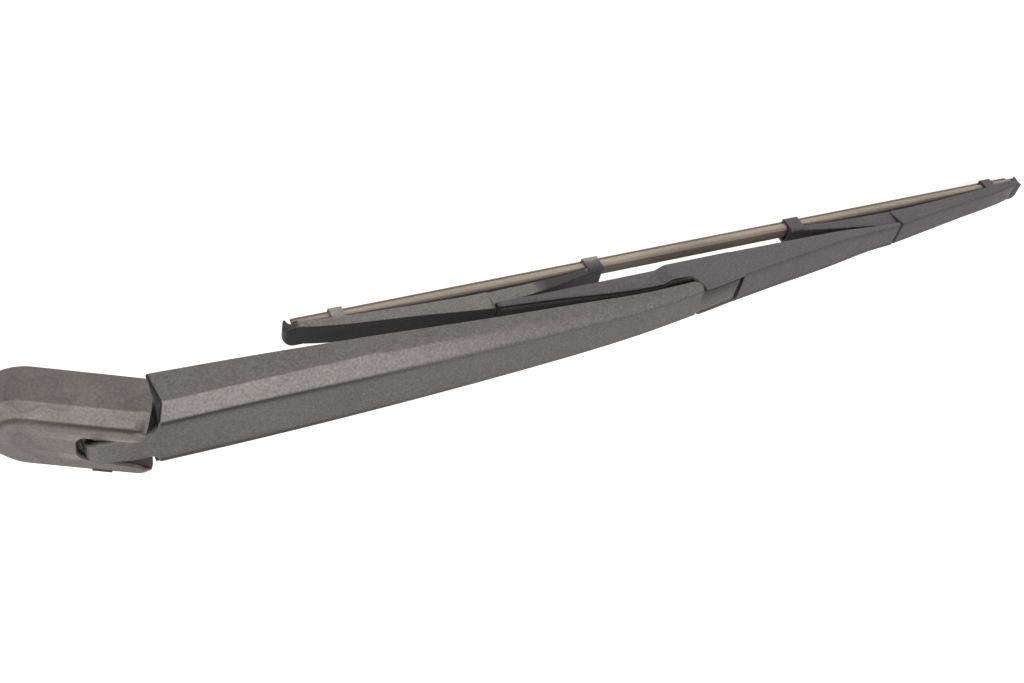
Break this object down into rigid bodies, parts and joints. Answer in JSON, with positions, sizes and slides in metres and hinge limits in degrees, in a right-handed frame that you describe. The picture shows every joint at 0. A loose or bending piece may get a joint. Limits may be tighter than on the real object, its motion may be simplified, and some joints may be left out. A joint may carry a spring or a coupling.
{
  "type": "wiper arm",
  "caption": "Rear window wiper: a sprung plastic arm on a capped spindle head, with a two-stage blade whose yokes grip a rubber strip.",
  "frame": {"origin": "foot of the spindle bore, on the bore's axis, at the glass side of the head", "axes": "+Z out of the glass along the spindle, +X along the head towards the tip; the arm lies folded against its stop, so the blade hangs below the origin"},
  "size_m": [0.3926, 0.034, 0.1941],
  "materials": {
    "cap_plastic": "weathered, fine grain",
    "arm_plastic": "weathered, fine grain",
    "bridge_plastic": "weathered satin",
    "yoke_plastic": "weathered satin",
    "adapter_plastic": "satin",
    "casting": "as cast",
    "pin_steel": "zinc plated",
    "link_steel": "dull zinc",
    "spring_steel": "dull, lightly oiled",
    "bush_brass": "plain",
    "rubber": "aged, matt",
    "rail_steel": "stained with rust and dust"
  },
  "bodies": {
    "head": {"head_casting": "casting", "head_cap": "cap_plastic", "hinge_pin": "pin_steel", "spring_anchor_pin": "pin_steel"},
    "spring_link": {"spring_link": "link_steel"},
    "arm": {"arm_shell": "arm_plastic", "hinge_bush_left": "bush_brass", "hinge_bush_right": "bush_brass", "spring_retainer_pin": "pin_steel", "tension_spring": "spring_steel", "blade_adapter": "adapter_plastic"},
    "blade": {"blade_bridge": "bridge_plastic", "blade_pivot_pin": "pin_steel", "rear_yoke_pin": "pin_steel", "front_yoke_pin": "pin_steel", "wiper_rubber": "rubber", "left_rail": "rail_steel", "right_rail": "rail_steel"},
    "rear_yoke": {"rear_yoke": "yoke_plastic"},
    "front_yoke": {"front_yoke": "yoke_plastic"}
  },
  "joints": [
    {"name": "arm_hinge", "type": "hinge", "parent": "head", "child": "arm", "pos_m": [0.023, 0, 0.0115], "axis": [0, -1, 0], "range_deg": [0, 75], "stiffness_Nm_per_rad": 0.5, "springref_deg": -68.75, "deforming": ["tension_spring"]},
    {"name": "spring_link_pivot", "type": "hinge", "parent": "head", "child": "spring_link", "pos_m": [0.0225, 0, 0.0039], "axis": [0, -1, 0], "range_deg": [0, 75]},
    {"name": "blade_pivot", "type": "hinge", "parent": "arm", "child": "blade", "pos_m": [0.2308, 0, -0.09041], "axis": [0, -1, 0], "range_deg": [-7, 7]},
    {"name": "rear_yoke_pivot", "type": "hinge", "parent": "blade", "child": "rear_yoke", "pos_m": [0.14906, 0, -0.06272], "axis": [0, -1, 0], "range_deg": [-4, 4], "stiffness_Nm_per_rad": 0.06, "deforming": ["wiper_rubber", "left_rail", "right_rail"]},
    {"name": "front_yoke_pivot", "type": "hinge", "parent": "blade", "child": "front_yoke", "pos_m": [0.30679, 0, -0.13131], "axis": [0, -1, 0], "range_deg": [-4, 4], "stiffness_Nm_per_rad": 0.06, "deforming": ["wiper_rubber", "left_rail", "right_rail"]}
  ],
  "couplings": [
    {"joint": "spring_link_pivot", "follows": "arm_hinge", "ratio": 0.9701}
  ]
}
